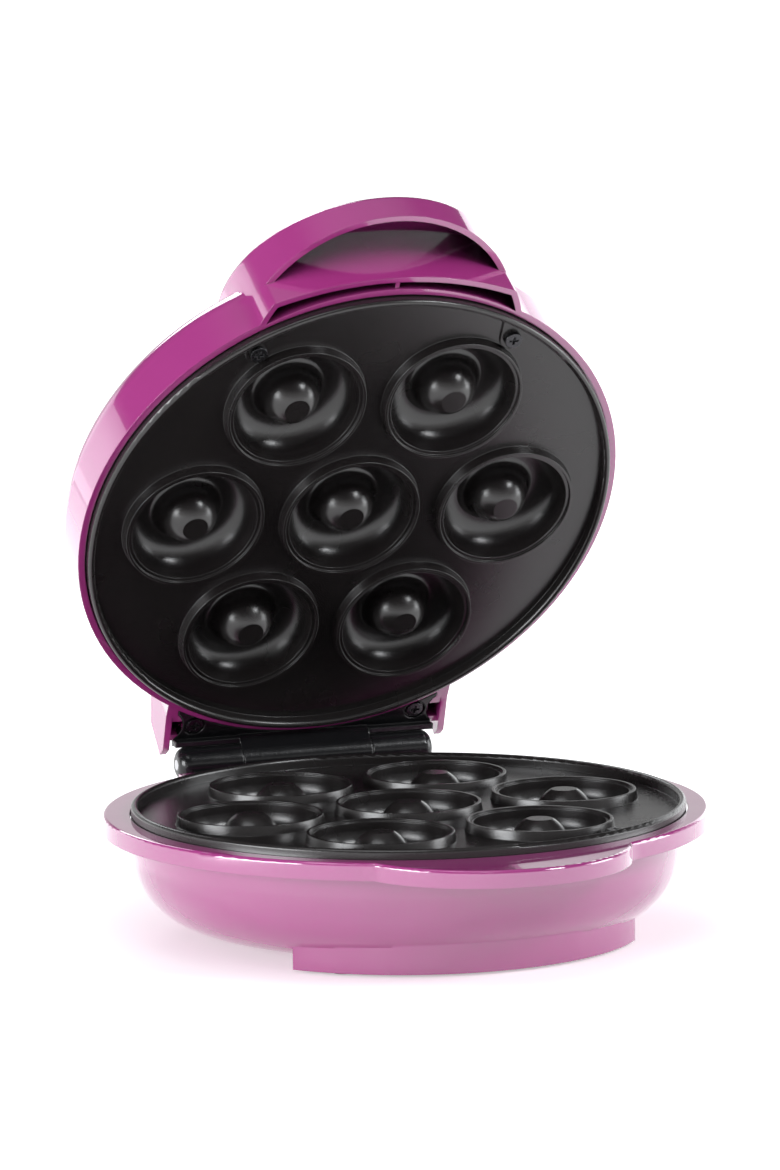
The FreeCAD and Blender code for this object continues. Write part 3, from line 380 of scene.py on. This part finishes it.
coating, coating_surface = new_finish("non_stick", coat_black, 0.2)
coating_surface.inputs["Specular IOR Level"].default_value = 0.7
speck = ramp(coating, grain(coating, 2600.0, detail=1.0), -0.6, 1.1)
join(coating, tint(coating, speck, speck_dark, speck_light), coating_surface.inputs["Base Color"])
join(coating, ramp(coating, grain(coating, 45.0), 0.23, 0.30), coating_surface.inputs["Roughness"])
relief(coating, coating_surface, grain(coating, 2200.0, detail=2.0), depth=0.00003, edge=0.0004)
dress(coating, "lower_plate", "upper_plate")

# %% [markdown]
# ## Hinge, screws and feet
# The hinge is moulded in black plastic with a light satin grain. The screws are blackened steel, and the feet
# and the cord bush are matt rubber. All three differ only in numbers, so one helper makes them.

# %% Black pieces
hinge_black = grained_finish(
    "hinge_black", (0.008, 0.008, 0.009), rough=(0.16, 0.27), cloud=120.0, pebble=900.0,
    depth=0.00005, edge=0.0008)
dress(hinge_black, "base_hinge_bracket", "lid_hinge_bracket")

screw_black = grained_finish(
    "screw_black", (0.07, 0.07, 0.074), rough=(0.20, 0.36), cloud=700.0, pebble=1500.0,
    depth=0.00003, edge=0.0004, metal=1.0)
dress(screw_black, "lower_plate_screws", "upper_plate_screws", "lid_hinge_screws", "base_hinge_screws")

rubber = grained_finish(
    "black_rubber", (0.025, 0.025, 0.025), rough=(0.7, 0.92), cloud=300.0, pebble=1200.0,
    depth=0.00008, edge=0.0006)
dress(rubber, "rubber_feet", "cord_gland")

# %% [markdown]
# ## Metal inside
# Nobody sees the heaters, straps and reflectors until the appliance is taken apart, but each has its metal:
# bright sheet, plain steel screws, and a heater sheath with the dull straw tint of steel that gets hot.

# %% Steel pieces
def steel_finish(name, dark, light, rough_low, rough_high):
    finish, surface = new_finish(name, light, rough_low, metal=1.0)
    cloud = grain(finish, 90.0)
    join(finish, tint(finish, cloud, dark, light), surface.inputs["Base Color"])
    join(finish, ramp(finish, cloud, rough_low, rough_high), surface.inputs["Roughness"])
    relief(finish, surface, grain(finish, 1400.0), depth=0.00003, edge=0.0003)
    return finish


plain_steel = steel_finish("plain_steel", (0.50, 0.50, 0.52), (0.66, 0.66, 0.68), 0.22, 0.38)
bright_sheet = steel_finish("bright_sheet", (0.62, 0.63, 0.64), (0.74, 0.75, 0.76), 0.18, 0.34)
hot_steel = steel_finish("hot_steel", (0.16, 0.12, 0.10), (0.33, 0.29, 0.27), 0.35, 0.55)
dress(plain_steel, "hinge_pin", "lower_clip_screws", "upper_clip_screws", "lower_shield_screws",
      "upper_shield_screws", "terminal_block_screws", "thermostat_screws", "thermal_fuse",
      "thermal_fuse_screw", "lamp_holder_screws")
dress(bright_sheet, "lower_heater_clips", "upper_heater_clips", "lower_heat_shield", "upper_heat_shield",
      "thermal_fuse_clip")
dress(hot_steel, "lower_heating_element", "upper_heating_element")

# %% [markdown]
# ## Electrical pieces
# Cream terminal plastic, brown bakelite, woven sleeves on the leads, and the two clear lenses over their
# lamps.

# %% Plastics, sleeves and lenses
cream = grained_finish(
    "cream_plastic", (0.72, 0.66, 0.50), rough=(0.42, 0.6), cloud=250.0, pebble=1100.0,
    depth=0.00004, edge=0.0004)
dress(cream, "terminal_block", "lamp_holder")

bakelite, bakelite_surface = new_finish("bakelite", (0.06, 0.035, 0.02), 0.3)
swirl = tint(bakelite, grain(bakelite, 160.0), (0.045, 0.026, 0.015), (0.08, 0.047, 0.028))
join(bakelite, swirl, bakelite_surface.inputs["Base Color"])
relief(bakelite, bakelite_surface, grain(bakelite, 1000.0), depth=0.00003, edge=0.0004)
dress(bakelite, "thermostat")

sleeve, sleeve_surface = new_finish("woven_sleeve", (0.75, 0.73, 0.66), 0.85)
weave = grain(sleeve, 1800.0, detail=1.0)
threads = tint(sleeve, weave, (0.62, 0.60, 0.53), (0.80, 0.78, 0.71))
join(sleeve, threads, sleeve_surface.inputs["Base Color"])
relief(sleeve, sleeve_surface, weave, depth=0.0002)
dress(sleeve, "lower_wiring", "lid_wiring")


def lens_finish(name, colour):
    finish, surface = new_finish(name, colour, 0.08)
    surface.inputs["Transmission Weight"].default_value = 0.6
    surface.inputs["IOR"].default_value = 1.49
    relief(finish, surface, grain(finish, 400.0), depth=0.00003, edge=0.0003)
    return finish


dress(lens_finish("red_lens", (0.55, 0.012, 0.010)), "power_light_lens")
dress(lens_finish("green_lens", (0.015, 0.38, 0.06)), "ready_light_lens")
dress(lens_finish("lamp_glass", (0.85, 0.80, 0.74)), "indicator_lamps")
